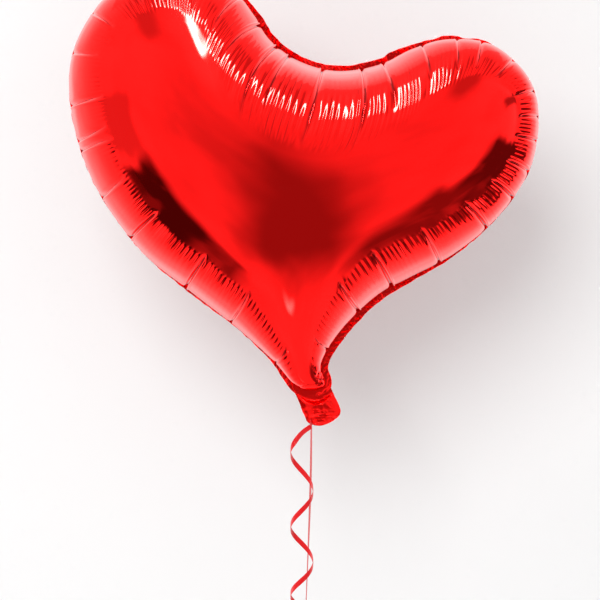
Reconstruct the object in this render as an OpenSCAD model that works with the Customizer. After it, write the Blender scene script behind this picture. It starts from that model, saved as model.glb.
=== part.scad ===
// Heart-shaped foil balloon with a straight tether ribbon and a curled ribbon.
// Millimetres, +Z up, the front of the balloon faces -Y. The origin is the centre of the
// ribbon loop that is tied through the tail.

/* [Balloon] */
// Half of the greatest depth of the inflated balloon
half_depth = 102; // [80:1:115]
// Thickness of one foil panel
foil_t = 0.5; // [0.4:0.1:0.8]
// Width of the heat-sealed edge outside the seam
seal_w = 7; // [4:0.5:9]
// Thickness of the heat-sealed edge, both sheets together
seal_t = 0.6; // [0.4:0.1:1]

/* [Filling valve] */
// Width of the two valve films inside the balloon
valve_w = 20; // [16:1:22]
// Height to which the valve films reach inside the balloon
valve_top = 120; // [70:5:150]
// Thickness of one valve film
valve_t = 0.3; // [0.2:0.1:0.3]

/* [Tail] */
// Thickness of each sheet of the crumpled tail
tail_t = 0.8; // [0.6:0.1:1]
// Radius of the hole that the tie goes through
tie_hole_r = 1.4; // [1.2:0.1:1.6]

/* [Ribbons] */
// Width of the curling ribbon
ribbon_w = 5; // [4:0.5:6]
// Radius of the tie's ring, to the middle of the bunched ribbon
tie_ring_r = 3.6; // [3.4:0.1:3.8]
// Thickness of the bunched ribbon in the tie
tie_cord_d = 1.4; // [1:0.1:1.6]
// Length of the knot that both ribbons hang from
knot_l = 7.5; // [6:0.1:8]
// Thickness of that knot
knot_d = 3; // [2.5:0.1:3.2]
// Outer radius of the curled ribbon's coils
curl_r = 12.5; // [10:0.5:12.5]
// Outer radius of the loop for the hand
hand_loop_r = 22; // [18:1:30]
// Thickness of the loop's doubled ribbon
hand_loop_t = 0.8; // [0.6:0.1:1.2]

/* [Hidden] */

foil_red = [0.85, 0.02, 0.03];
ribbon_red = [0.8, 0.03, 0.06];
film_clear = [0.85, 0.88, 0.9, 0.5];

// The seam line, clockwise from the neck as seen from the front: across, up, and how far the
// inflated panels bulge past the seam there. Only the convex edges bulge past it.
SEAM = [
    [-13, 36, 0], [-37, 68, 1], [-75, 104, 3], [-127, 143, 6], [-171, 181, 8],
    [-213, 238, 8], [-236, 293, 8], [-245, 350, 8], [-236, 396, 8], [-202, 442, 8],
    [-140, 465, 8], [-88, 450, 5], [-59, 421, 2], [-42, 396, 1], [-12, 374, 1],
    [26, 364, 1], [68, 370, 1], [104, 385, 3], [142, 393, 6], [186, 386, 8],
    [221, 353, 8], [230, 312, 8], [220, 262, 8], [188, 216, 8], [145, 178, 6],
    [100, 151, 3], [68, 131, 1], [33, 97, 1], [12, 62, 0], [14, 37, 0]
];
seam_steps = 3;      // columns of the panel for each seam point
panel_rings = 10;    // rings of the panel from the seam to its crown
CROWN = [-30, 250];  // the deepest place of the balloon, across and up
lobe_fullness = 1.9; // 2 is an ellipse; lower is flatter towards the seam
tip_fullness = 1;
tip_spread = 40;     // how far to each side of the tip the flatter shape reaches, degrees
bulge_reach = 45;    // the bulge past the seam has ended at this angle of the panel's section

// The tail's outline
neck_z = 25.5;
neck_left = -16;
neck_right = 24;
tail_left_corner = [0.5, 2, 4.3];   // across, up, radius
tail_right_corner = [15.5, 11.5, 15.5];
corner_step = 15;

// The knot starts this far behind the middle of the tail, and its middle is this high
knot_front = 2;
knot_z = -0.8;

// The tether hangs straight from the knot's back half. Route: across, back, up
TETHER = [
    [0.5, 6.3, -3], [0, 6.3, -50], [-1.5, 6.3, -100], [-3.5, 6.3, -150], [-5.5, 6.3, -200]
];
tether_ring_gap = 12;
tether_end = TETHER[len(TETHER) - 1];
end_knot_d = 7;
end_knot_l = 8;
end_knot_grip = 1;  // how far the hand loop runs into the end knot

// The curl's outer shape, from the knot's front half: across, back, up, radius
CURL = [
    [0, 2.6, -4.8, 0.8], [-1.5, 0.5, -10, 3], [-6, -5, -18, 8], [-9.5, -10.2, -28, 12.5],
    [-9.5, -10.2, -90, 12.5], [-9.5, -10.2, -150, 12.5], [-9.5, -10.2, -206, 12.5]
];
curl_sides = 16;
fn_round = 48;

// ---- curves ----

// A point at share f of the way from b to c on a smooth curve through a, b, c and d
function curve_point(a, b, c, d, f) =
    0.5 * (2 * b + (c - a) * f + (2 * a - 5 * b + 4 * c - d) * f * f
        + (3 * b - a - 3 * c + d) * f * f * f);

function closed_curve(pts, steps) = let (n = len(pts)) [
    for (j = [0 : n - 1], k = [0 : steps - 1])
        curve_point(pts[(j + n - 1) % n], pts[j], pts[(j + 1) % n], pts[(j + 2) % n], k / steps)
];

function flat(v) = [v[0], v[1]];

function unit(v) = v / norm(v);

// Outward normals of a closed curve that runs clockwise
function outward(pts) = let (n = len(pts)) [
    for (j = [0 : n - 1])
        let (t = unit(flat(pts[(j + 1) % n]) - flat(pts[(j + n - 1) % n]))) [-t[1], t[0]]
];

seam = closed_curve(SEAM, seam_steps);
seam_out = outward(seam);

// ---- panels ----

// How full the panel's section is towards seam point j: less towards the tip
function fullness(j) =
    let (ray = flat(seam[j]) - CROWN, off = abs(atan2(ray[0], -ray[1])))
    lobe_fullness - (lobe_fullness - tip_fullness) * exp(-pow(off / tip_spread, 2));

// The share of the way to the crown at which the section has reached angle a. Every section
// is an ellipse near the crown, so that they meet smoothly there.
function inward_share(j, a) = pow(cos(a), 2 / (2 - (2 - fullness(j)) * cos(a)));

// One point of the panel's skin. a is 0 at the seam and 90 at the crown, side is -1 for the
// front panel, and inset moves the point into the wall.
function skin_point(j, a, side, inset) =
    let (
        flat_at = CROWN + (flat(seam[j]) - CROWN) * inward_share(j, a),
        bulge = seam[j][2] * (a < bulge_reach ? sin(180 * a / bulge_reach) : 0),
        at = flat_at + seam_out[j] * (bulge - inset * cos(a)),
        depth = seal_t / 2 + (half_depth - seal_t / 2) * sin(a) - inset * sin(a)
    )
    [at[0], side * depth, at[1]];

function ring_angle(k) = 90 * k / panel_rings;

// Rings from the seam in: k runs up the outside, then back down the inside of the wall
function skin_ring(k, side, inset) = [
    for (j = [0 : len(seam) - 1]) skin_point(j, ring_angle(k), side, inset)
];

// Faces between ring a and ring b of n points each
function band_faces(a, b, n) = [
    for (j = [0 : n - 1]) let (i = (j + 1) % n)
        each [[a * n + j, a * n + i, b * n + i], [a * n + j, b * n + i, b * n + j]]
];

function crown_faces(ring, apex, n, out) = [
    for (j = [0 : n - 1]) let (i = (j + 1) % n)
        out ? [ring * n + j, ring * n + i, apex] : [ring * n + i, ring * n + j, apex]
];

function flip(faces) = [for (f = faces) [f[2], f[1], f[0]]];

module panel(side) {
    n = len(seam);
    last = panel_rings - 1;
    outer = [for (k = [0 : last]) each skin_ring(k, side, 0)];
    inner = [for (k = [0 : last]) each skin_ring(k, side, foil_t)];
    crowns = [
        [CROWN[0], side * half_depth, CROWN[1]],
        [CROWN[0], side * (half_depth - foil_t), CROWN[1]]
    ];
    first_inner = panel_rings;
    apex = 2 * panel_rings * n;
    faces = concat(
        [for (k = [0 : last - 1]) each band_faces(k, k + 1, n)],
        crown_faces(last, apex, n, true),
        [for (k = [0 : last - 1]) each flip(band_faces(first_inner + k, first_inner + k + 1, n))],
        crown_faces(first_inner + last, apex + 1, n, false),
        flip(band_faces(0, first_inner, n))
    );
    polyhedron(
        points = concat(outer, inner, crowns),
        faces = side < 0 ? faces : flip(faces),
        convexity = 6
    );
}

module front_panel() {
    color(foil_red) panel(-1);
}

module back_panel() {
    color(foil_red) panel(1);
}

// Stands a drawing of the XZ plane up, centred on y
module upright(thickness, y = 0) {
    translate([0, y + thickness / 2, 0]) rotate([90, 0, 0]) linear_extrude(thickness) children();
}

// The welded edges of both sheets, all round, closed across the neck
module seam_border() {
    n = len(seam);
    color(foil_red) upright(seal_t) difference() {
        polygon([for (j = [0 : n - 1]) flat(seam[j]) + seam_out[j] * seal_w]);
        polygon([for (j = [0 : n - 1]) flat(seam[j]) - seam_out[j] * foil_t]);
    }
}

// ---- filling valve ----

// One clear film, held in the welded edge at the neck
module valve_film(y) {
    bottom = SEAM[0][1] - seal_w / 2;
    color(film_clear) translate([0, y - valve_t / 2, bottom])
        translate([-valve_w / 2, 0, 0]) cube([valve_w, valve_t, valve_top - bottom]);
}

module valve_film_front() {
    valve_film(-valve_t / 2);
}

module valve_film_back() {
    valve_film(valve_t / 2);
}

// ---- tail ----

function arc(c, a0, a1) = [
    for (a = [a0 : corner_step : a1]) [c[0] + c[2] * cos(a), c[1] + c[2] * sin(a)]
];

module tail_sheet(y) {
    color(foil_red) difference() {
        upright(tail_t, y) polygon(concat(
            [[neck_left, neck_z]],
            arc(tail_left_corner, 195, 270),
            arc(tail_right_corner, 285, 375),
            [[neck_right, neck_z]]
        ));
        translate([0, y, tie_ring_r]) rotate([90, 0, 0])
            cylinder(r = tie_hole_r, h = 3 * tail_t, center = true, $fn = fn_round);
    }
}

module tail_front() {
    tail_sheet(-tail_t / 2);
}

module tail_back() {
    tail_sheet(tail_t / 2);
}

// ---- tie ----

module tie_loop() {
    color(ribbon_red) rotate([0, 90, 0]) rotate_extrude($fn = fn_round)
        translate([tie_ring_r, 0]) circle(d = tie_cord_d, $fn = fn_round);
}

// The knot lies front to back behind the tail, and the loop runs into its front end
module tie_knot() {
    color(ribbon_red) translate([0, knot_front, knot_z]) rotate([-90, 0, 0])
        cylinder(d = knot_d, h = knot_l, $fn = fn_round);
}

// ---- ribbons ----

// Points of ring k of a tube of the given radius, square to the up direction
function tube_ring(at, radius, sides) = [
    for (s = [0 : sides - 1])
        [at[0] + radius * cos(360 * s / sides), at[1] + radius * sin(360 * s / sides), at[2]]
];

// A tube through rings given as [across, back, up, radius], from the top down
module tube(stations, sides) {
    count = len(stations);
    points = [for (q = stations) each tube_ring(q, q[3], sides)];
    top = [for (s = [sides - 1 : -1 : 0]) s];
    bottom = [for (s = [0 : sides - 1]) (count - 1) * sides + s];
    walls = [for (k = [0 : count - 2]) each band_faces(k, k + 1, sides)];
    polyhedron(points = points, faces = concat([top], walls, [bottom]), convexity = 4);
}

function along(route, gap) = [
    for (k = [0 : len(route) - 2])
        let (a = route[k], b = route[k + 1], steps = max(1, round(norm(b - a) / gap)))
        each [for (i = [0 : steps - 1]) a + (b - a) * i / steps],
    route[len(route) - 1]
];

module tether_ribbon() {
    stations = [for (q = along(TETHER, tether_ring_gap)) [q[0], q[1], q[2], ribbon_w / 2]];
    color(ribbon_red) tube(stations, 8);
}

module tether_end_knot() {
    color(ribbon_red) translate(tether_end - [0, 0, end_knot_l])
        cylinder(d = end_knot_d, h = end_knot_l, $fn = fn_round);
}

module hand_loop() {
    drop = end_knot_l - end_knot_grip + hand_loop_r;
    color(ribbon_red) translate(tether_end - [0, 0, drop]) rotate([90, 0, 0])
        rotate_extrude($fn = 2 * fn_round)
            translate([hand_loop_r - hand_loop_t, -ribbon_w / 2]) square([hand_loop_t, ribbon_w]);
}

module curled_ribbon() {
    color(ribbon_red) tube(along(CURL, 2 * curl_r), curl_sides);
}

front_panel();
back_panel();
seam_border();
valve_film_front();
valve_film_back();
tail_front();
tail_back();
tie_loop();
tie_knot();
tether_ribbon();
tether_end_knot();
hand_loop();
curled_ribbon();
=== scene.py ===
"""Heart-shaped foil balloon with a straight tether ribbon and a curled one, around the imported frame.

Metres, +Z up, the front faces -Y, and the origin is the middle of the tie through the tail.
"""

import math

import bpy
import numpy as np
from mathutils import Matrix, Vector
from mathutils.geometry import delaunay_2d_cdt


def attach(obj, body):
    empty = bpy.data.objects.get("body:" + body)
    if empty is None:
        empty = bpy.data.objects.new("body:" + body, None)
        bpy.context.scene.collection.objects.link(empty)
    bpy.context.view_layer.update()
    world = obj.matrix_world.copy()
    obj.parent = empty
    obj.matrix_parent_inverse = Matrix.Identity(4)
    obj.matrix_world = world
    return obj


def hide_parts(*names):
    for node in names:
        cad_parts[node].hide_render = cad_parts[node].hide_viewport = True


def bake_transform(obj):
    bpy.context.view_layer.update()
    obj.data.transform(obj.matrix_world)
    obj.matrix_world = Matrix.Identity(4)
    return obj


MM = 0.001

# The seam line, clockwise from the neck as seen from the front. For each point: across and up,
# how far the panels bulge past the seam, then the tube of film beside it: its height and width,
# how far in from the seam its ribs start, and their height. All in millimetres.
SEAM = [
    (-13, 36, 2, 0.3, 6, 3, 0.10), (-37, 68, 6.5, 1.2, 15, 9, 0.22), (-75, 104, 7.5, 2.4, 27, 17, 0.34),
    (-127, 143, 6, 3.0, 31, 21, 0.42), (-171, 181, 8, 2.6, 30, 20, 0.36), (-213, 238, 8, 1.4, 30, 20, 0.12),
    (-236, 293, 8, 1.0, 32, 22, 0.12), (-245, 350, 8, 0.9, 32, 22, 0.10), (-236, 396, 8, 0.9, 32, 20, 0.08),
    (-202, 442, 8, 1.2, 36, 16, 0.18), (-140, 465, 8, 1.2, 42, 14, 0.22), (-88, 450, 5, 1.2, 50, 14, 0.20),
    (-59, 421, 2, 1.4, 62, 14, 0.24), (-42, 396, 1, 1.8, 76, 15, 0.32), (-12, 374, 1, 2.4, 84, 18, 0.38),
    (26, 364, 1, 2.6, 88, 20, 0.38), (68, 370, 1, 2.2, 80, 18, 0.32), (104, 385, 3, 1.6, 60, 14, 0.20),
    (142, 393, 6, 1.2, 48, 12, 0.18), (186, 386, 8, 1.4, 34, 12, 0.20), (221, 353, 8, 2.0, 19, 10, 0.28),
    (230, 312, 8, 2.0, 17, 8, 0.32), (220, 262, 8, 2.2, 20, 10, 0.34), (188, 216, 8, 2.6, 24, 14, 0.38),
    (145, 178, 6, 2.8, 31, 21, 0.36), (100, 151, 3, 2.8, 34, 22, 0.40), (68, 131, 1, 2.4, 36, 14, 0.36),
    (33, 97, 1, 1.6, 27, 10, 0.26), (12, 62, 0, 0.7, 13, 5, 0.16), (14, 37, 0, 0.3, 6, 3, 0.10),
]

# Creases across the seam, as (place along SEAM in points, depth, length) in millimetres
CREASES_FRONT = [
    (0.9, 1.2, 22), (2.1, 2.4, 40), (3.0, 4.6, 52), (4.25, 4.6, 50), (4.95, 2.0, 28),
    (5.8, 2.2, 34), (5.98, 2.0, 30), (6.6, 2.6, 34), (7.65, 1.6, 26), (8.5, 1.8, 28),
    (9.35, 1.8, 30), (9.8, 1.8, 34), (10.5, 2.4, 40), (11.4, 2.4, 50), (12.4, 2.6, 60),
    (13.3, 2.8, 96), (13.72, 2.2, 70), (14.65, 2.8, 96), (15.6, 2.6, 88), (16.15, 2.0, 56),
    (17.3, 1.6, 40), (18.2, 1.6, 34), (18.75, 2.2, 30), (19.5, 2.0, 30), (20.3, 2.4, 30),
    (20.9, 2.0, 28), (21.4, 2.8, 34), (22.0, 2.6, 32), (22.55, 3.6, 38), (23.25, 3.8, 42),
    (24.3, 2.6, 46), (25.5, 4.0, 66), (26.5, 3.2, 58), (27.6, 1.6, 26), (28.6, 1.2, 16),
]

FULLNESS = 1.2  # depth of a taut film pillow over the square root of its membrane height
SEAM_GAP = 0.25  # half of the gap between the panels at the seam
SEAM_STEPS = 24  # samples of the seam line for each point of SEAM
COLUMNS = 1920  # mesh points round the seam

# The band of rings beside the seam carries the tube, the ribs and the creases
BAND_RINGS = 44
BAND_REACH = (1.22, 2)  # its width: so many widths of the tube, and so much more
RIDGE_SLOPE = 0.25  # its columns slow down where the slope is under this share of the seam's
FOLDS_FADE = (0.86, 0.14)  # share of the rings at which folds begin to fade, and how many fade them
NORMALS_FADE = (0.8, 0.2)  # the same where the band's normals give way to the core's
TUBE_FULLNESS = 0.8  # share that is built of the height in SEAM
TUBE_ROOM = 1.17  # widths of the tube that the band has to have room for
ROOM_COLUMNS = 20  # columns to either side over which that room is averaged
RIB_PITCH = 5.2
PAINTED_RIB_SHADE = 0.6  # painted shade in the valleys between ribs, where a crease's painted shade is 1
TOOTH_LENGTH = 5  # how far ribs of TOOTH_HEIGHT push the tube's inner edge in and out
TOOTH_HEIGHT = 0.3

CORE_STEP = 4.5  # spacing of the points inside the band

# Small creases in the front of the tip: depth, width, and a line of (across, up)
TIP_CREASES = [
    (0.9, 1.0, [(-11, 38), (-4, 40), (2, 43), (6, 48)]),
    (0.6, 1.0, [(-14, 54), (-7, 51), (0, 52.5)]),
    (1.1, 1.1, [(3, 40), (6, 46), (8, 54)]),
    (1.0, 1.0, [(8, 39), (10, 46), (11, 55)]),
    (0.8, 1.1, [(-17, 42), (-13, 38), (-10, 36)]),
]

# The welded edge, and where it is wider: place along SEAM in points, half length, extra width
EDGE_WIDTH = 6.8
EDGE_TILT = -0.8  # how far forward its rim leans
EDGE_FLAPS = [(16.6, 11, 1.6), (18.05, 11, 2.2), (18.75, 10, 1.6), (27.0, 24, 0.8)]

# The tail: height, left edge and right edge from the top down
TAIL_OUTLINE = [
    (37, -19.5, 20), (31, -16.8, 22.6), (25, -14.2, 25.6), (19, -11.6, 28.4), (13, -9.4, 30.6),
    (8, -7.4, 30.2), (4, -5.8, 26.6), (1, -4.4, 22.6), (-1.6, -1.2, 17.6), (-3.4, 3.4, 12.6), (-4, 7, 9),
]
TAIL_FOLD = (23, 9, 3, 19)  # lowest height of the recess, its rise to the sides, middle, half width
TAIL_FULLNESS = 4.2
TAIL_STEPS = 22  # mesh rows for each line of TAIL_OUTLINE
TAIL_COLUMNS = 151

# The studio as the foil mirrors it, in degrees across and up from straight in front:
# place, half width and height, tilt, taper, softness of the edge, and brightness
STUDIO_CARDS = [
    (-66, -2, 10, 14, 5, 0, 3, 0.86),          # grey flat on the left
    (3, -14, 19, 33, 0, -0.42, 12, 0.34),      # dark of the room round the camera
    (-57, -37, 13, 19, 20, 0, 4, 0.07),        # black flats low on the left
    (-42, -55, 8, 7, 40, 0, 4, 0.25),
    (80, 36, 13, 5.5, 28, 0, 3, 0.45),         # black flats on the right
    (73, -25, 17, 25, -22, 0, 4, 0.13),
    (50, -42, 12, 17, -15, 0, 6, 0.26),
    (-7, -59, 4, 3, 0, 0, 3, 16),              # glow from the floor
    (0, 80, 62, 15, 0, 0, 2, 1.25),            # front edge of the ceiling
    (-30, 62, 9, 16, 20, 0, 6, 0.75),          # gaps beside the softbox
    (32, 60, 9, 16, -15, 0, 6, 0.65),
    (1.5, 60, 9, 24, 12, 0, 9, 2.1),           # glow round the softbox
    (0.5, 62.5, 2.7, 14, 31, 0, 1.0, 130),     # the long softbox overhead
]
STUDIO_BENDS = 3  # how unevenly the cards' edges run, in degrees
STUDIO_STREAKS = 0.16  # what the paler parts of a dark card add to it
STUDIO_DARK = 0.3  # a card under this brightness is a dark one
STUDIO_FRONT = (10, 60, 0.88, 1.35)  # from straight in front to the sides, degrees and brightness
STUDIO_SIDES = (72, 112, 0.0, 1.7)  # what the sides add to that
STUDIO_BACK = (122, 160, 0.0, 2.2)  # what the shaded wall behind takes away again
STUDIO_EVEN = 0.76  # brightness for everything that isn't mirrored
STUDIO_SEEN = 0.985  # brightness where the camera looks straight at it

# In metres and watts
WALL_BEHIND = 0.25  # from the seam to the wall
KEY_LIGHT = (-1.0, -3.2, 1.5)
KEY_AIM = (0, 0, 0.15)
KEY_SIZE = 2.1
KEY_POWER = 68

# Ribbons, all in millimetres. The curl winds round an upright axis, and each half turn starts
# at one of these heights, from the left-most point of the first turn.
RIBBON_WIDTH = 5
RIBBON_THICKNESS = 0.2
CURL_AXIS = (-9.5, -10.2)
CURL_RADIUS = 11.6
CURL_HALF_TURNS = (-31, -71, -108, -145, -178, -214)
CURL_END = -204
TETHER = [
    (0.5, 6.3, -3), (0, 6.3, -50), (-1.5, 6.3, -100), (-3.5, 6.3, -150), (-5.5, 6.3, -200)
]
TETHER_TURN = 18  # the ribbon's face is this far from edge-on to the front, in degrees
HAND_LOOP_RADIUS = 21.6
TIE_RING_RADIUS = 3.6
TIE_CORD_RADIUS = 0.8
KNOT_Z = -0.8

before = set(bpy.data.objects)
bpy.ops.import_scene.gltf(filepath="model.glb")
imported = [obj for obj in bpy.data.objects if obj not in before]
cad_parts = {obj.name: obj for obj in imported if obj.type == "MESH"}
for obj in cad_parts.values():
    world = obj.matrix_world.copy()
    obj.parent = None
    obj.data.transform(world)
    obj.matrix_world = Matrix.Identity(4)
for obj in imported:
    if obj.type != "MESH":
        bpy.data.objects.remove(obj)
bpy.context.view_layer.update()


# ---- camera ----

VIEW_CENTRE = Vector((-11.4, 0, 126.9)) * MM
VIEW_WIDTH = 624 * MM
VIEW_DISTANCE = 2.0


def make_camera():
    data = bpy.data.cameras.new("camera")
    data.sensor_width = 36
    data.lens = data.sensor_width * VIEW_DISTANCE / VIEW_WIDTH
    camera = bpy.data.objects.new("camera", data)
    camera.location = VIEW_CENTRE - Vector((0, VIEW_DISTANCE, 0))
    camera.rotation_euler = (math.pi / 2, 0, 0)
    bpy.context.collection.objects.link(camera)
    bpy.context.scene.camera = camera


make_camera()


# ---- meshes ----


def make_mesh(name, points, faces, smooth=True, normals=None):
    """A mesh object from points (n x 3) and a list of face index arrays, each of one width."""
    mesh = bpy.data.meshes.new(name)
    points = np.asarray(points, np.float32)
    mesh.vertices.add(len(points))
    mesh.vertices.foreach_set("co", points.ravel())
    faces = [np.asarray(f, np.int32) for f in faces if len(f)]
    loops = np.concatenate([f.ravel() for f in faces])
    sizes = np.concatenate([np.full(len(f), f.shape[1], np.int32) for f in faces])
    mesh.loops.add(len(loops))
    mesh.loops.foreach_set("vertex_index", loops)
    mesh.polygons.add(len(sizes))
    mesh.polygons.foreach_set("loop_start", np.concatenate([[0], np.cumsum(sizes)[:-1]]).astype(np.int32))
    mesh.polygons.foreach_set("use_smooth", np.full(len(sizes), smooth))
    mesh.update(calc_edges=True)
    mesh.validate()
    if normals is not None:
        mesh.normals_split_custom_set_from_vertices(normals)
    piece = bpy.data.objects.new(name, mesh)
    bpy.context.collection.objects.link(piece)
    return piece


# ---- ribbons and cords ----


def unit(v):
    return v / np.linalg.norm(v, axis=-1, keepdims=True)


def smooth_path(points, steps):
    """A smooth open curve through the points, with steps samples for each stretch."""
    p = np.array(points, float)
    p = np.vstack([2 * p[0] - p[1], p, 2 * p[-1] - p[-2]])
    f = (np.arange(steps) / steps)[:, None]
    a, b, c, d = (p[i : len(p) - 3 + i, None] for i in range(4))
    curve = 0.5 * (
        2 * b + (c - a) * f + (2 * a - 5 * b + 4 * c - d) * f**2 + (3 * b - a - 3 * c + d) * f**3
    )
    return np.vstack([curve.reshape(-1, p.shape[1]), p[-2]])


def grid_faces(rings, columns, closed=True):
    """Faces between rings of equally many points."""
    j = np.arange(columns if closed else columns - 1)
    i = (j + 1) % columns
    a = (np.arange(rings - 1) * columns)[:, None]
    return np.stack([a + j, a + columns + j, a + columns + i, a + i], 2).reshape(-1, 4)


def strip(name, path, facing, width, thickness, camber=0.0, loop=False):
    """A flat ribbon along a path in mm, whose face looks along the facing vectors."""
    step = np.roll(path, -1, 0) - np.roll(path, 1, 0) if loop else np.gradient(path, axis=0)
    ahead = unit(step)
    face = unit(facing - ahead * (facing * ahead).sum(1)[:, None])
    side = np.cross(ahead, face)
    across = np.linspace(-1, 1, 11)
    rings = []
    for sign, share in ((1, across), (-1, across[::-1])):
        lift = camber * (1 - share**2) + sign * thickness / 2 * (1 - 0.5 * share**8)
        rings.append(
            path[:, None] + side[:, None] * (share * width / 2)[:, None] + face[:, None] * lift[:, None]
        )
    points = np.concatenate(rings, 1)
    count, columns = points.shape[:2]
    if loop:
        points = np.vstack([points, points[:1]])
        count += 1
    faces = [grid_faces(count, columns)]
    if not loop:
        half = np.arange(columns // 2 - 1)
        cap = np.stack([half, half + 1, columns - 2 - half, columns - 1 - half], 1)
        faces.append(np.vstack([cap, cap[:, ::-1] + (count - 1) * columns]))
    piece = make_mesh(name, points.reshape(-1, 3) * MM, faces)
    place_across = np.tile(np.concatenate([across, across[::-1]]), count)
    piece.data.attributes.new("across", "FLOAT", "POINT").data.foreach_set("value", place_across)
    return piece


def bunched(name, paths, radius, folds=5, turns=3.0):
    """Ribbon bunched into a thin cord with twisted lengthwise folds, along each path in mm."""
    points, faces, start = [], [], 0
    angle = np.linspace(0, 2 * math.pi, 30, endpoint=False)
    for path, closed in paths:
        ahead = unit(np.roll(path, -1, 0) - np.roll(path, 1, 0) if closed else np.gradient(path, axis=0))
        up = np.array([0.31, 0.12, 0.94])
        side = unit(np.cross(ahead, up))
        top = np.cross(side, ahead)
        along_path = np.arange(len(path))[:, None] / len(path)
        fold = np.abs(np.sin(folds / 2 * angle[None] + turns * 2 * math.pi * along_path)) ** 0.6
        r = radius * (0.72 + 0.3 * fold) * (1 + 0.05 * np.sin(9 * 2 * math.pi * along_path))
        sideways = side[:, None] * (r * np.cos(angle))[..., None]
        upwards = top[:, None] * (r * np.sin(angle))[..., None]
        ring = path[:, None] + sideways + upwards
        if closed:
            ring = np.concatenate([ring, ring[:1]])
        points.append(ring.reshape(-1, 3))
        faces.append(grid_faces(len(ring), len(angle)) + start)
        start += ring.shape[0] * len(angle)
        if not closed:
            first = start - ring.shape[0] * len(angle)
            j = np.arange(0, len(angle) // 2 - 1)
            cap = np.stack([j, j + 1, len(angle) - 2 - j, len(angle) - 1 - j], 1)
            faces.append(cap + first)
            faces.append(cap[:, ::-1] + start - len(angle))
    return make_mesh(name, np.concatenate(points) * MM, faces)


def wraps(start, axis, length, coil_radius, turns, steps=40):
    """A close coil from start along an axis: the turns of a knot."""
    axis = np.array(axis, float)
    side = np.cross(axis, (1.0, 0.3, 0.2))
    side /= np.linalg.norm(side)
    top = np.cross(axis, side)
    t = np.linspace(0, 1, int(turns * steps) + 1)[:, None]
    angle = 2 * math.pi * turns * t
    swell = coil_radius * (0.75 + 0.25 * np.sin(math.pi * t))
    return np.array(start) + axis * length * t + swell * (side * np.cos(angle) + top * np.sin(angle))


def curl_path():
    """The curled ribbon's centreline in mm and the way its face looks at each point."""
    # From the knot round the front to the first half turn
    start = np.array([
        (0, 2.6, -4.8), (-3.6, 1.2, -7.0), (-8.4, -2.8, -10.4), (-13.4, -8.0, -15.4),
        (-17.4, -11.6, -21.0), (-20.2, -12.6, -26.4),
    ], float)
    z = np.arange(CURL_HALF_TURNS[0], CURL_END - 0.5, -1.0)
    turn = np.interp(-z, [-h for h in CURL_HALF_TURNS], range(len(CURL_HALF_TURNS)))
    turn = np.convolve(np.pad(turn, 12, "reflect", reflect_type="odd"), np.ones(25) / 25, "valid")
    phase = math.pi * (1.5 + turn)
    coil = np.stack([
        CURL_AXIS[0] + CURL_RADIUS * np.sin(phase), CURL_AXIS[1] + CURL_RADIUS * np.cos(phase), z
    ], 1)
    path = smooth_path(np.vstack([start, coil[::6]]), 6)
    radial = path - np.array([CURL_AXIS[0], CURL_AXIS[1], 0])
    radial[:, 2] = 0
    radial = unit(radial)
    share = np.clip((-14 - path[:, 2]) / 17, 0, 1)[:, None]
    share = share * share * (3 - 2 * share)
    facing = radial * share + np.array([0.25, -1, 0.1]) * (1 - share)
    return path, facing


def make_ribbons():
    """The two ribbons, the tie that they hang from and what is on the tether's end."""
    path, facing = curl_path()
    curl = strip("curl", path, facing, RIBBON_WIDTH, RIBBON_THICKNESS, camber=0.25)
    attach(curl, "curl")
    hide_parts("curled_ribbon")

    path = smooth_path(TETHER, 24)
    turn = np.radians(TETHER_TURN + 7 * np.sin(np.linspace(0, 5, len(path))))
    facing = np.stack([np.cos(turn), -np.sin(turn), np.zeros(len(path))], 1)
    tether = strip("tether", path, facing, RIBBON_WIDTH, RIBBON_THICKNESS, camber=0.12)
    end = np.array(TETHER[-1], float)

    knot_turns = wraps(end - (0, 0, 1.4), (0, 0, -1), 5.4, 1.9, 2.5)
    knot_core = smooth_path([end + (0, 0, 0.6), end - (0.3, 0, 3), end - (0, 0, 7.4)], 12)
    end_knot = bunched("end_knot", [(knot_turns, False), (knot_core, False)], 1.5)

    angle = np.linspace(0, 2 * math.pi, 160, endpoint=False)
    pinch = np.sin(angle / 2) ** 0.7
    drop = 7 + HAND_LOOP_RADIUS
    loop_path = np.stack([
        end[0] + HAND_LOOP_RADIUS * np.sin(angle) * pinch,
        end[1] + 0.5 * np.sin(2 * angle),
        end[2] - drop + HAND_LOOP_RADIUS * np.cos(angle),
    ], 1)
    outwards = np.stack([np.sin(angle), 0.25 * np.cos(angle), np.cos(angle)], 1)
    loop = strip(
        "loop_for_hand", loop_path, outwards, RIBBON_WIDTH, 2 * RIBBON_THICKNESS, camber=0.15, loop=True
    )
    for piece, node in ((tether, "tether_ribbon"), (end_knot, "tether_end_knot"), (loop, "hand_loop")):
        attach(piece, "tether")
        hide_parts(node)

    angle = np.linspace(0, 2 * math.pi, 90, endpoint=False)
    ring = TIE_RING_RADIUS * np.stack([0.06 * np.sin(2 * angle), np.sin(angle), np.cos(angle)], 1)
    tie = bunched("tie", [(ring, True)], TIE_CORD_RADIUS, folds=4, turns=2)
    middle = np.array([0, 0, KNOT_Z])
    turns = wraps(middle + (0, 2.6, 0), (0, 1, 0), 6.2, 0.85, 3)
    core = smooth_path([middle + (0, 2.0, 0), middle + (0, 5.5, 0.2), middle + (0, 9.3, 0)], 10)
    knot = bunched("knot", [(turns, False), (core, False)], 0.68, folds=4)
    for piece, node in ((tie, "tie_loop"), (knot, "tie_knot")):
        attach(piece, "tie")
        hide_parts(node)
    return curl, tether, end_knot, loop, tie, knot


ribbons = make_ribbons()


# ---- curves ----


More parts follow.
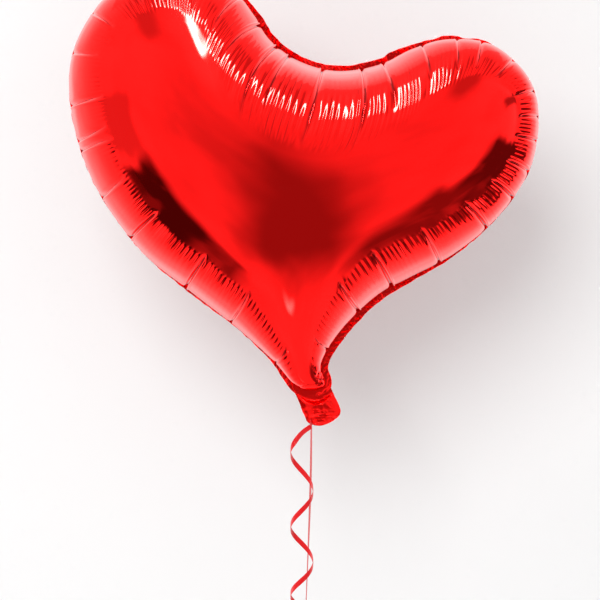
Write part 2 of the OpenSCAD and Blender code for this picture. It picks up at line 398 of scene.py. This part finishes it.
def closed_curve(points, steps):
    """A smooth closed curve through the points, with steps samples for each."""
    p = np.array(points, float)
    f = (np.arange(steps) / steps)[:, None]
    a, b, c, d = (np.roll(p, shift, 0)[:, None] for shift in (1, 0, -1, -2))
    curve = 0.5 * (
        2 * b + (c - a) * f + (2 * a - 5 * b + 4 * c - d) * f**2 + (3 * b - a - 3 * c + d) * f**3
    )
    return curve.reshape(-1, p.shape[1])


def evenly(curve, count):
    """The closed curve at count even steps of its length, and the length up to each of its points.

    Length is measured in the first two columns.
    """
    q = np.vstack([curve, curve[:1]])
    at = np.concatenate([[0], np.cumsum(np.linalg.norm(np.diff(q[:, :2], axis=0), axis=1))])
    t = np.arange(count) / count * at[-1]
    return np.stack([np.interp(t, at, q[:, i]) for i in range(q.shape[1])], 1), at


def outward(points):
    """Outward normals of a closed curve that runs clockwise."""
    t = np.roll(points, -1, 0) - np.roll(points, 1, 0)
    t /= np.linalg.norm(t, axis=1)[:, None]
    return np.stack([-t[:, 1], t[:, 0]], 1)


# ---- the inflated shape ----


class Pillow:
    """The height of a taut film pillow over the seam line, in millimetres.

    The height's square follows the membrane equation, with a constant load and nothing at the
    seam. It is the sum of a paraboloid and of point sources just outside the seam.
    """

    def __init__(self, curve):
        edge = evenly(curve, 720)[0][:, :2]
        ring = evenly(curve, 240)[0][:, :2]
        self.sources = ring + 8 * outward(ring)
        terms = np.hstack([self._logs(edge), np.ones((len(edge), 1))])
        self.weights = np.linalg.lstsq(terms, (edge**2).sum(1) / 4, rcond=1e-10)[0]

    def _logs(self, x):
        return 0.5 * np.log(((x[:, None] - self.sources[None]) ** 2).sum(2))

    def load(self, x):
        return -(x**2).sum(1) / 4 + self._logs(x) @ self.weights[:-1] + self.weights[-1]

    def slope(self, x):
        away = x[:, None] - self.sources[None]
        pull = self.weights[:-1] / (away**2).sum(2)
        return -x / 2 + np.einsum("ij,ijk->ik", pull, away)


curve = closed_curve(SEAM, SEAM_STEPS)
seam, curve_at = evenly(curve, COLUMNS)
seam[:, 2:] = np.maximum(seam[:, 2:], 0)
pillow = Pillow(curve)
perimeter = curve_at[-1]
along = np.arange(COLUMNS) / COLUMNS * perimeter


def place(point_number):
    """Length along the seam, in mm, of a place given in points of SEAM."""
    return float(np.interp(point_number * SEAM_STEPS, np.arange(len(curve_at)), curve_at))


def wrapped(distance):
    """Distance along the seam to its nearest repeat."""
    return (distance + perimeter / 2) % perimeter - perimeter / 2


def smoothstep(x):
    x = np.clip(x, 0, 1)
    return x * x * (3 - 2 * x)


def wander(seed, steps, count=COLUMNS):
    """A smooth closed random line of about -1 to 1 with the given number of steps round it."""
    rng = np.random.default_rng(seed)
    knots = rng.uniform(-1, 1, (steps, 1))
    line = closed_curve(knots, max(1, count // steps + 1))[:, 0]
    return np.interp(np.arange(count) / count * len(line), np.arange(len(line)), line)


def trace_band():
    """Rings of (x, z) from the seam inwards. Their columns run up the slope, as film pulls."""
    reach = seam[:, 4] * BAND_REACH[0] + BAND_REACH[1]
    at = seam[:, :2].copy()
    slow = RIDGE_SLOPE * np.linalg.norm(pillow.slope(at), axis=1)
    rings = [at.copy()]
    done = 0.0
    for k in range(1, BAND_RINGS + 1):
        part = k / BAND_RINGS
        share = 0.55 * (1 - math.cos(math.pi / 2 * part)) + 0.45 * part**1.6
        for _ in range(2):
            slope = pillow.slope(at)
            pace = smoothstep(np.linalg.norm(slope, axis=1) / slow)
            at = at + unit(slope) * (pace * reach * (share - done) / 2)[:, None]
        done = share
        rings.append(at.copy())
    return rings


band = trace_band()


def line_distance(at, line):
    """Distance of each point from a line of straight stretches, and the share of the way along it."""
    best = np.full(len(at), 1e9)
    share = np.zeros(len(at))
    line = np.array(line, float)
    for k, (a, b) in enumerate(zip(line[:-1], line[1:])):
        t = np.clip(((at - a) @ (b - a)) / ((b - a) ** 2).sum(), 0, 1)
        d = np.linalg.norm(at - a - t[:, None] * (b - a), axis=1)
        closer = d < best
        best[closer] = d[closer]
        share[closer] = (k + t[closer]) / (len(line) - 1)
    return best, share


def dents(at, lines):
    """How far creases away from the seam lower the surface at each point (x, z), in mm."""
    total = np.zeros(len(at))
    for depth, width, line in lines:
        near = (np.abs(at - np.mean(line, 0)) < 45).all(1)
        if near.any():
            gap, share = line_distance(at[near], smooth_path(line, 6))
            taper = np.sin(math.pi * np.clip(share, 0.02, 0.98)) ** 0.6
            total[near] += depth * np.exp(-((gap / width) ** 1.4)) * taper
    return total


def ripple(at, seed):
    """The faint unevenness of taut film, in mm."""
    rng = np.random.default_rng(seed)
    total = np.zeros(len(at))
    for wavelength, height in ((150, 0.30), (95, 0.16), (60, 0.07), (34, 0.022)):
        for _ in range(3):
            way, shift = rng.uniform(0, 2 * math.pi, 2)
            total += height * np.sin(2 * math.pi / wavelength * (at @ (math.cos(way), math.sin(way))) + shift)
    return total / 2


def surface(at, side, correction=0.0):
    """Points and outward normals of the taut shape at (x, z), in mm."""
    load = np.maximum(pillow.load(at) - correction, 0)
    slope = pillow.slope(at)
    depth = FULLNESS * np.sqrt(load)
    normal = np.stack([-FULLNESS * slope[:, 0], side * 2 * np.sqrt(load), -FULLNESS * slope[:, 1]], 1)
    return np.stack([at[:, 0], side * (SEAM_GAP + depth), at[:, 1]], 1), unit(normal)


def rib_pattern(seed):
    """The ribs beside the seam: height factor, and how their inner ends vary, for each column."""
    pitch = RIB_PITCH * (1 + 0.20 * wander(seed + 1, 70) + 0.12 * wander(seed + 2, 230))
    turns = np.cumsum(perimeter / COLUMNS / pitch)
    turns *= round(turns[-1]) / turns[-1]
    ribs = np.abs(np.sin(math.pi * turns)) ** 0.8 - 0.6
    strength = 0.75 + 0.5 * wander(seed + 3, 120) + 0.25 * wander(seed + 6, 330)
    ends = 1 + 0.07 * wander(seed + 4, 300) + 0.05 * wander(seed + 5, 60)
    return ribs * np.maximum(strength, 0.1), ends


def band_rings(side, creases, seed):
    """The band's rings with their bulge, tube, ribs and creases, in mm.

    With them come the taut shape's normals, and the painted shade of the folds and rib valleys at each point.
    """
    correction = pillow.load(band[0])
    ribs, ends = rib_pattern(seed)
    crease_at = np.array([place(c[0]) for c in creases])
    crease_reach = np.array([c[2] for c in creases])
    gap = np.abs(wrapped(along[:, None] - crease_at[None]))
    pinch = (np.exp(-((gap / 3.5) ** 2)) * np.minimum(crease_reach / 40, 1)[None]).max(1)
    gap = gap.min(1)
    bulge_height, tube_height, tube_width, rib_start, rib_height = seam[:, 2:].T
    room = np.linalg.norm(band[-1] - band[0], axis=1)
    room = np.concatenate([room[-ROOM_COLUMNS:], room, room[:ROOM_COLUMNS]])
    averaged = 2 * ROOM_COLUMNS + 1
    room = np.convolve(room, np.full(averaged, 1 / averaged), "valid")
    fit = np.minimum(tube_width, room / TUBE_ROOM) / tube_width
    tube_width, tube_height = tube_width * fit, tube_height * fit * TUBE_FULLNESS
    teeth = TOOTH_LENGTH * ribs * rib_height / TOOTH_HEIGHT
    valleys = np.clip(-ribs / 0.6, 0, 1) ** 2
    travelled = np.zeros(COLUMNS)
    previous = None
    rings, normals, painted_shades = [], [], []
    for k, at in enumerate(band):
        inward = np.linalg.norm(at - band[0], axis=1)
        settle = 1 - smoothstep((k / BAND_RINGS - FOLDS_FADE[0]) / FOLDS_FADE[1])
        point, normal = surface(at, side, correction * np.exp(-inward / 10))
        if previous is None:
            point[:, 1] = side * SEAM_GAP
        else:
            travelled = travelled + np.linalg.norm(point - previous, axis=1)
        previous = point
        bulge = bulge_height * (1 - np.exp(-((travelled / 6) ** 1.2))) * np.exp(-((travelled / 38) ** 2))
        lift = bulge * (1 - 0.12 * np.exp(-gap / 3))
        # The tube ends in a shoulder that the ribs cross and notch
        share = inward / (tube_width * (0.35 + 0.65 * ends) + teeth)
        inside = np.clip(share, 0, 1)
        tube = np.sin(math.pi * inside**0.8) ** 1.1
        lift += tube_height * tube * (1 - 0.4 * pinch)
        end = tube_width * 1.15 * ends
        window = smoothstep((inward - 0.75 * rib_start) / (0.5 * rib_start))
        window = window * smoothstep((end - inward) / (0.15 * end))
        faint = 0.16 * smoothstep((inward - 2) / 6) * (share < 1)
        lift += rib_height * ribs * np.maximum(window, faint)
        # Painted shade in the rib valleys, darkening the colour there
        shade = PAINTED_RIB_SHADE * valleys * window
        for (_, depth, length), middle in zip(creases, crease_at):
            off = wrapped(along - middle)
            near = np.abs(off) < 40
            m = inward[near]
            width = 0.9 + 1.3 * np.clip(m / length, 0, 1)
            lean = 3.5 * math.sin(7 * middle) * (m / length) ** 2
            fall = depth * smoothstep(travelled[near] / 6) * np.clip(1 - m / length, 0, 1) ** 0.6
            across = off[near] + lean
            fold = np.exp(-np.where(across < 0, -across / (0.55 * width), across / (1.6 * width)))
            lip = 0.3 * np.exp(-(((across + 2.4 * width) / (1.1 * width)) ** 2))
            lift[near] -= fall * (fold - lip)
            # Painted shade along each crease, darkest near the seam
            inner = np.clip(2.5 * (1 - m / length), 0, 1) * smoothstep(travelled[near] / 3)
            shade[near] = np.maximum(shade[near], inner * np.exp(-((across / (0.9 * width)) ** 2)))
        if side < 0:
            lift -= dents(at, TIP_CREASES)
        lift = lift * settle + ripple(at, seed) * np.maximum(smoothstep(inward / 25), 1 - settle)
        rings.append(point + normal * lift[:, None])
        normals.append(normal)
        painted_shades.append(shade * settle)
    return rings, normals, painted_shades


def grid_normals(rings, fallback, side):
    """Normals of the band. Where its points crowd or fold over, the taut shape's own are kept."""
    grid = np.stack(rings)
    round_ = np.roll(grid, -1, 1) - np.roll(grid, 1, 1)
    inward = np.gradient(grid, axis=0)
    cross = np.cross(inward, round_) * -side
    size = np.linalg.norm(cross, axis=2, keepdims=True)
    steady = np.stack(fallback)
    agree = (cross * steady).sum(2, keepdims=True) / np.maximum(size, 1e-9)
    spacing = np.linalg.norm(round_, axis=2, keepdims=True)
    trust = smoothstep((spacing - 0.3) / 0.6) * smoothstep((agree - 0.1) / 0.3)
    mixed = cross / np.maximum(size, 1e-9) * trust + steady * (1 - trust)
    mixed[0] = steady[0] * (0.3, 1, 0.3)
    return unit(mixed)


def rippled(at, side, seed):
    """The taut shape with its ripple, in mm, and its normals."""

    def lifted(q):
        point, normal = surface(q, side)
        return point + normal * ripple(q, seed)[:, None]

    step = 0.4
    middle = lifted(at)
    cross = np.cross(lifted(at + (0, step)) - middle, lifted(at + (step, 0)) - middle)
    return middle, unit(cross * side)


def core_mesh(ring):
    """Points inside the ring, on an even grid, and the triangles that fill it with them.

    Corners below len(ring) are the ring's own, and the rest follow in the order of the points.
    """
    step = CORE_STEP
    low, high = ring.min(0) + step / 2, ring.max(0)
    grid = np.array([
        (x + step / 2 * (j % 2), z)
        for j, z in enumerate(np.arange(low[1], high[1], step * 0.87))
        for x in np.arange(low[0], high[0], step)
    ])
    after = np.roll(ring, -1, 0)
    crossed = (ring[None, :, 1] > grid[:, None, 1]) != (after[None, :, 1] > grid[:, None, 1])
    with np.errstate(divide="ignore", invalid="ignore"):
        slant = (after - ring)[:, 0] / (after - ring)[:, 1]
        left = grid[:, None, 0] < ring[None, :, 0] + slant[None] * (grid[:, None, 1] - ring[None, :, 1])
    inside = (crossed & left).sum(1) % 2 == 1
    grid = grid[inside]
    nearest = np.sqrt(((grid[:, None] - ring[None, ::4]) ** 2).sum(2)).min(1)
    grid = grid[nearest > 0.4 * step]
    corners = [Vector(q) for q in np.concatenate([ring, grid])]
    found = delaunay_2d_cdt(corners, [], [list(range(len(ring)))], 1, 1e-5)
    own = [ids[0] if ids else len(corners) + k for k, ids in enumerate(found[3])]
    if max(own) >= len(corners):
        raise RuntimeError("the inner edge of the band crosses itself")
    return grid, np.array([[own[i] for i in face] for face in found[2]])


def panel(name, side, creases, seed):
    """One inflated panel: the band of rings beside the seam, and the taut core inside it."""
    rings, taut, painted_shades = band_rings(side, creases, seed)
    normals = grid_normals(rings, taut, side)
    smooth = rippled(band[-1], side, seed)[1]
    at_ring = np.arange(len(rings)) / BAND_RINGS
    share = smoothstep((at_ring - NORMALS_FADE[0]) / NORMALS_FADE[1])[:, None, None]
    normals = unit(normals * (1 - share) + smooth * share)
    grid, triangles = core_mesh(band[-1])
    middle, middle_normals = rippled(grid, side, seed)
    points = np.concatenate(rings + [middle]) * MM
    normals = np.concatenate([normals.reshape(-1, 3), middle_normals])

    n = COLUMNS
    i = np.arange(n)
    j = (i + 1) % n
    faces = [np.stack([a + i, a + n + i, a + n + j, a + j], 1) for a in range(0, n * BAND_RINGS, n)]
    a, b, c = (points[n * BAND_RINGS:][triangles[:, k]][:, (0, 2)] for k in range(3))
    turned = (b - a)[:, 0] * (c - a)[:, 1] - (b - a)[:, 1] * (c - a)[:, 0] < 0
    triangles[turned] = triangles[turned][:, ::-1]
    faces.append(triangles + n * BAND_RINGS)
    if side > 0:
        faces = [f[:, ::-1] for f in faces]
    piece = make_mesh(name, points, faces, normals=normals)
    # Painted shade of the folds and rib valleys, which the foil's colour reads
    shade = np.concatenate(painted_shades + [np.zeros(len(middle))])
    piece.data.attributes.new("painted_fold_shade", "FLOAT", "POINT").data.foreach_set("value", shade)
    return piece


def back_creases(seed):
    """The back panel's creases: as many as the front's, at places of their own."""
    rng = np.random.default_rng(seed)
    return [
        (place_ + rng.uniform(-0.3, 0.3), depth * rng.uniform(0.7, 1.2), length * rng.uniform(0.8, 1.1))
        for place_, depth, length in CREASES_FRONT
    ]


def make_panels():
    front = panel("front_foil", -1, CREASES_FRONT, 11)
    back = panel("back_foil", 1, back_creases(5), 23)
    for piece, node in ((front, "front_panel"), (back, "back_panel")):
        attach(piece, "balloon")
        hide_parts(node)
    return front, back


# ---- the welded edge ----


def crumple(u, v, pitch, seed):
    """Flat facets that meet in sharp folds: heights on a skewed grid, joined by triangles."""
    rng = np.random.default_rng(seed)
    table = rng.uniform(-1, 1, (64, 64))
    u, v = u / pitch + 20, v / pitch + 20
    wob = 0.35 * np.sin(1.9 * v + 0.7 * u + seed), 0.35 * np.sin(2.3 * u - 0.9 * v + 2 * seed)
    u, v = u + wob[0], v + wob[1]
    i, j = np.floor(u).astype(int), np.floor(v).astype(int)
    f, g = u - i, v - j
    a, b, c, d = (table[(i + p) % 64, (j + q) % 64] for p, q in ((0, 0), (1, 0), (0, 1), (1, 1)))
    low = a + (b - a) * f + (c - a) * g
    high = d + (c - d) * (1 - f) + (b - d) * (1 - g)
    return np.where(f + g < 1, low, high)


def make_edge():
    """The heat-sealed border: flat where it leaves the seam, crinkled and wavy at its rim."""
    count = 2 * COLUMNS
    line = evenly(curve, count)[0][:, :2]
    out = outward(line)
    s = np.arange(count) / count * perimeter
    lobes = wander(62, 190, count)
    sway = wander(63, 34, count)
    width = EDGE_WIDTH + 0.35 * wander(64, 260, count)
    for where, reach, more in EDGE_FLAPS:
        width += more * np.exp(-((wrapped(s - place(where)) / reach) ** 4))
    layers = []
    for side in (-1, 1):
        rings = []
        for u in np.linspace(-0.12, 1, 13):
            rise = max(u, 0)
            folds = 0.75 * crumple(s + 4 * u, 7 * u + 0.3 * s, 4.3, 71)
            folds = folds + 0.38 * crumple(s - 3 * u, 7 * u, 2.2, 72)
            tilt = EDGE_TILT + 1.1 * sway + 0.7 * lobes
            y = rise**0.7 * folds + rise**1.3 * tilt + side * (SEAM_GAP - 0.1 * rise)
            at = line + out * (u * width * (1 - 0.05 * rise * np.abs(tilt)))[:, None]
            rings.append(np.stack([at[:, 0], y, at[:, 1]], 1))
        layers.append(rings)
    rings = layers[0] + layers[1][::-1]
    points = np.concatenate(rings) * MM
    edge = make_mesh("welded_edge", points, [grid_faces(len(rings), count)])
    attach(edge, "balloon")
    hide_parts("seam_border")
    return edge


# ---- the tail ----


def tail_sheet(name, side, seed):
    """One crumpled sheet of the filling neck, from inside the welded edge to its lower rim."""
    rows = smooth_path(TAIL_OUTLINE, TAIL_STEPS)
    z, left, right = rows.T
    u = np.linspace(-1, 1, TAIL_COLUMNS)
    middle, half = (left + right) / 2, (right - left) / 2
    x = middle[:, None] + half[:, None] * u
    z = np.repeat(z[:, None], len(u), 1)
    rim = 1 - np.abs(u)[None] ** 3
    bottom = smoothstep((z - TAIL_OUTLINE[-1][0]) / 5)
    # The recess under the inflated tip, and the fullness below it
    fold = TAIL_FOLD[0] + TAIL_FOLD[1] * ((x - TAIL_FOLD[2]) / TAIL_FOLD[3]) ** 2
    full = smoothstep((fold - z) / 5.5) * TAIL_FULLNESS * smoothstep((z + 3) / 14 + 0.25)
    warp = 0.5 * (x + z), 1.25 * z - 0.35 * x
    rough = (
        1.8 * crumple(*warp, 9.0, seed) + 0.8 * crumple(warp[1], warp[0], 4.9, seed + 1)
        + 0.25 * crumple(x, z, 2.5, seed + 2)
    )
    below = smoothstep((fold + 2 - z) / 6)
    y = SEAM_GAP + 0.25 + rim * bottom * (full + (0.12 + 0.88 * below) * (rough * 0.85 + 0.5))
    if side > 0:
        # Pressed flat under the knot
        y = np.minimum(y, 0.45 + 6 * smoothstep((np.hypot(x, z) - 4.5) / 12))
    ragged = 0.5 * crumple(x, z, 5.0, seed + 3)
    points = np.stack([
        x + ragged * (1 - rim), side * np.maximum(y, 0.12), z + 0.4 * ragged * (1 - bottom)
    ], 2)
    faces = grid_faces(len(rows), len(u), closed=False)
    if side > 0:
        faces = faces[:, ::-1]
    sheet = make_mesh(name, points.reshape(-1, 3) * MM, [faces])
    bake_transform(sheet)
    return sheet


def make_tail():
    front = tail_sheet("tail_foil_front", -1, 41)
    back = tail_sheet("tail_foil_back", 1, 57)
    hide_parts("tail_front")
    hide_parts("tail_back")
    return front, back


# ---- materials ----


class Wiring:
    """Short names for adding nodes to a node tree."""

    def __init__(self, tree):
        self.tree = tree

    def add(self, kind, inputs=(), **settings):
        node = self.tree.nodes.new(kind)
        for key, value in settings.items():
            setattr(node, key, value)
        for key, value in dict(inputs).items():
            if isinstance(value, bpy.types.NodeSocket):
                self.tree.links.new(value, node.inputs[key])
            else:
                node.inputs[key].default_value = value
        return node

    def math(self, operation, *values, clamp=False):
        inputs = dict(enumerate(values))
        return self.add("ShaderNodeMath", inputs, operation=operation, use_clamp=clamp).outputs[0]

    def ramp(self, value, low, high, start=0.0, end=1.0):
        node = self.add(
            "ShaderNodeMapRange",
            {"Value": value, "From Min": low, "From Max": high, "To Min": start, "To Max": end},
            interpolation_type="SMOOTHSTEP",
        )
        return node.outputs[0]

    def noise(self, place_, scale, detail=3.0, roughness=0.5, stretch=None):
        if stretch:
            place_ = self.add("ShaderNodeMapping", {"Vector": place_, "Scale": stretch}).outputs[0]
        inputs = {"Vector": place_, "Scale": scale, "Detail": detail, "Roughness": roughness}
        return self.add("ShaderNodeTexNoise", inputs).outputs["Fac"]

    def mix(self, share, first, second):
        node = self.add("ShaderNodeMix", data_type="RGBA")
        for socket, value in ((0, share), (6, first), (7, second)):
            if isinstance(value, bpy.types.NodeSocket):
                self.tree.links.new(value, node.inputs[socket])
            else:
                node.inputs[socket].default_value = value
        return node.outputs[2]


def principled(name, **values):
    material = bpy.data.materials.new(name)
    material.use_nodes = True
    shader = material.node_tree.nodes["Principled BSDF"]
    for key, value in values.items():
        shader.inputs[key.replace("_", " ")].default_value = value
    return material, shader, Wiring(material.node_tree)


def foil_material(name, smooth, creased):
    """Red metallised film: a mirror under a thin clear coat, with faint rolling streaks.

    smooth and creased are its lowest and highest roughness. Folds and rib valleys get a painted shade, stored
    on the points.
    """
    material, shader, wires = principled(name, Metallic=1.0, Coat_Weight=0.12, Coat_Roughness=0.03)
    place_ = wires.add("ShaderNodeTexCoord").outputs["Object"]
    blotches = wires.noise(place_, 9, 2)
    colour = wires.mix(blotches, (0.90, 0.0035, 0.0025, 1), (0.96, 0.0055, 0.0045, 1))
    # Painted shade: the colour goes to deep red where folds and rib valleys are shaded
    painted_fold_dark = wires.add("ShaderNodeAttribute", attribute_name="painted_fold_shade").outputs["Fac"]
    colour = wires.mix(wires.math("MULTIPLY", painted_fold_dark, 0.9), colour, (0.10, 0.0, 0.0, 1))
    wires.tree.links.new(colour, shader.inputs["Base Color"])
    rough = wires.ramp(wires.noise(place_, 26, 4, 0.6, (1, 1, 0.35)), 0.3, 0.75, smooth, creased)
    wires.tree.links.new(rough, shader.inputs["Roughness"])
    streaks = wires.noise(place_, 60, 3, 0.5, (1, 1, 0.08))
    orange_peel = wires.noise(place_, 42, 2)
    height = wires.math("ADD", wires.math("MULTIPLY", streaks, 0.35), orange_peel)
    bump = wires.add("ShaderNodeBump", {"Height": height, "Strength": 0.35, "Distance": 0.00006})
    wires.tree.links.new(bump.outputs[0], shader.inputs["Normal"])
    return material


def ribbon_material():
    """Glossy curling ribbon: thin red film pressed with fine lengthwise ridges."""
    material, shader, wires = principled(
        "red_ribbon_film", Roughness=0.36, Specular_IOR_Level=0.22, Coat_Weight=0.05, Coat_Roughness=0.2
    )
    place_ = wires.add("ShaderNodeTexCoord").outputs["Object"]
    colour = wires.mix(wires.noise(place_, 35, 3), (0.56, 0.003, 0.006, 1), (0.76, 0.007, 0.011, 1))
    wires.tree.links.new(colour, shader.inputs["Base Color"])
    across = wires.add("ShaderNodeAttribute", attribute_name="across").outputs["Fac"]
    ridges = wires.math("SINE", wires.math("MULTIPLY", across, 34.0))
    grain = wires.math("MULTIPLY", wires.noise(place_, 260, 2), 0.8)
    bump = wires.add(
        "ShaderNodeBump", {"Height": wires.math("ADD", ridges, grain), "Strength": 0.3, "Distance": 0.00003}
    )
    wires.tree.links.new(bump.outputs[0], shader.inputs["Normal"])
    return material


def film_material():
    """The clear, slightly cloudy film of the filling valve."""
    material, shader, wires = principled(
        "clear_valve_film", Base_Color=(0.85, 0.88, 0.90, 1), IOR=1.5, Alpha=0.5, Transmission_Weight=0.4,
    )
    place_ = wires.add("ShaderNodeTexCoord").outputs["Object"]
    rough = wires.ramp(wires.noise(place_, 120, 4), 0.3, 0.7, 0.12, 0.3)
    wires.tree.links.new(rough, shader.inputs["Roughness"])
    bump = wires.add(
        "ShaderNodeBump", {"Height": wires.noise(place_, 260, 3), "Strength": 0.3, "Distance": 0.00005}
    )
    wires.tree.links.new(bump.outputs[0], shader.inputs["Normal"])
    return material


def dress(pieces, material):
    for piece in pieces:
        piece.data.materials.clear()
        piece.data.materials.append(material)


# ---- the studio ----


def studio_card(wires, u, v, streaks, light, card):
    """Lays one card over the light so far. u and v are degrees across and up from straight ahead."""
    across, up, half_width, half_height, tilt, taper, edge, radiance = card
    c, s = math.cos(math.radians(tilt)), math.sin(math.radians(tilt))
    du, dv = wires.math("SUBTRACT", u, across), wires.math("SUBTRACT", v, up)
    a = wires.math("ADD", wires.math("MULTIPLY", du, c), wires.math("MULTIPLY", dv, s))
    b = wires.math("SUBTRACT", wires.math("MULTIPLY", dv, c), wires.math("MULTIPLY", du, s))
    width = wires.math("ADD", wires.math("MULTIPLY", b, taper), half_width)
    inside_a = wires.ramp(wires.math("SUBTRACT", width, wires.math("ABSOLUTE", a)), -edge, edge)
    inside_b = wires.ramp(wires.math("SUBTRACT", half_height, wires.math("ABSOLUTE", b)), -edge, edge)
    inside = wires.math("MULTIPLY", inside_a, inside_b)
    shade = wires.math("ADD", streaks, radiance) if radiance < STUDIO_DARK else radiance
    more = wires.math("MULTIPLY", inside, wires.math("SUBTRACT", shade, light))
    return wires.math("ADD", light, more)


def make_world():
    """A white studio. What the foil mirrors has brighter and darker parts, and the rest is even."""
    world = bpy.data.worlds.new("studio")
    bpy.context.scene.world = world
    world.use_nodes = True
    tree = world.node_tree
    tree.nodes.clear()
    wires = Wiring(tree)
    way = wires.add("ShaderNodeTexCoord").outputs["Generated"]
    x, y, z = wires.add("ShaderNodeSeparateXYZ", {0: way}).outputs
    from_front = wires.math("ARCCOSINE", wires.math("MULTIPLY", y, -1))
    degrees = wires.math("MULTIPLY", from_front, 180 / math.pi)
    squares = wires.math("MULTIPLY", x, x), wires.math("MULTIPLY", z, z)
    flat = wires.math("SQRT", wires.math("ADD", *squares))
    per = wires.math("DIVIDE", degrees, wires.math("MAXIMUM", flat, 1e-4))
    u, v = wires.math("MULTIPLY", x, per), wires.math("MULTIPLY", z, per)
    light = wires.math("ADD", wires.ramp(degrees, *STUDIO_FRONT), wires.ramp(degrees, *STUDIO_SIDES))
    light = wires.math("SUBTRACT", light, wires.ramp(degrees, *STUDIO_BACK))
    bends = [wires.math("SUBTRACT", wires.noise(way, scale, 1), 0.5) for scale in (3.1, 4.3)]
    u, v = (
        wires.math("ADD", angle, wires.math("MULTIPLY", bend, 4 * STUDIO_BENDS))
        for angle, bend in zip((u, v), bends)
    )
    light = wires.math("MULTIPLY", light, wires.ramp(wires.noise(way, 2.6, 3), 0.3, 0.7, 0.86, 1.14))
    streaks = wires.ramp(wires.noise(way, 3.6, 2, 0.5, (1, 1, 2)), 0.48, 0.66, 0.0, STUDIO_STREAKS)
    for card in STUDIO_CARDS:
        light = studio_card(wires, u, v, streaks, light, card)
    rays = wires.add("ShaderNodeLightPath").outputs
    direct = wires.math("LESS_THAN", rays["Diffuse Depth"], 0.5)
    mirrored = wires.math("MULTIPLY", rays["Is Glossy Ray"], wires.math("SUBTRACT", light, STUDIO_EVEN))
    mirrored = wires.math("MULTIPLY", mirrored, direct)
    light = wires.math("ADD", mirrored, STUDIO_EVEN)
    seen = wires.math("MULTIPLY", rays["Is Camera Ray"], wires.math("SUBTRACT", STUDIO_SEEN, light))
    light = wires.math("ADD", light, seen)
    background = wires.add("ShaderNodeBackground", {"Color": (1, 1, 1, 1), "Strength": light})
    output = wires.add("ShaderNodeOutputWorld")
    tree.links.new(background.outputs[0], output.inputs["Surface"])


def stage_plane(name, corners, see_through):
    """A matt white plane. With see_through it shows only from the side that it faces."""
    plane = make_mesh(name, corners, [np.array([[0, 1, 2, 3]])], smooth=False)
    material, shader, wires = principled(name, Roughness=0.8, Specular_IOR_Level=0.1)
    place_ = wires.add("ShaderNodeTexCoord").outputs["Object"]
    colour = wires.mix(wires.noise(place_, 3, 3), (0.83, 0.83, 0.83, 1), (0.86, 0.86, 0.86, 1))
    wires.tree.links.new(colour, shader.inputs["Base Color"])
    if see_through:
        behind = wires.add("ShaderNodeNewGeometry").outputs["Backfacing"]
        wires.tree.links.new(wires.math("SUBTRACT", 1.0, behind), shader.inputs["Alpha"])
    plane.data.materials.append(material)
    plane.visible_glossy = False


def make_stage():
    """A pale floor and wall, and a soft key light for what isn't mirrored."""
    wide, low, high = 2.6, -0.9, 2.6
    near, far = -2.6, WALL_BEHIND
    floor = [(-wide, near, low), (wide, near, low), (wide, far, low), (-wide, far, low)]
    wall = [(-wide, far, low), (wide, far, low), (wide, far, high), (-wide, far, high)]
    stage_plane("pale_floor", floor, see_through=False)
    stage_plane("pale_wall", wall, see_through=True)

    lamp = bpy.data.lights.new("key", "AREA")
    lamp.shape, lamp.size, lamp.energy = "DISK", KEY_SIZE, KEY_POWER
    key = bpy.data.objects.new("key", lamp)
    key.location = KEY_LIGHT
    key.rotation_euler = (Vector(KEY_AIM) - key.location).to_track_quat("-Z", "Y").to_euler()
    key.visible_glossy = False
    bpy.context.collection.objects.link(key)


panels = make_panels()
edge = make_edge()
tail = make_tail()
dress(panels + (edge,), foil_material("red_foil_taut", 0.035, 0.075))
dress(tail, foil_material("red_foil_crumpled", 0.25, 0.36))
dress(ribbons, ribbon_material())
valve_film = film_material()
for node in ("valve_film_front", "valve_film_back"):
    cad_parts[node].data.materials.clear()
    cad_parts[node].data.materials.append(valve_film)
make_world()
make_stage()
bpy.context.scene.view_settings.view_transform = "Standard"
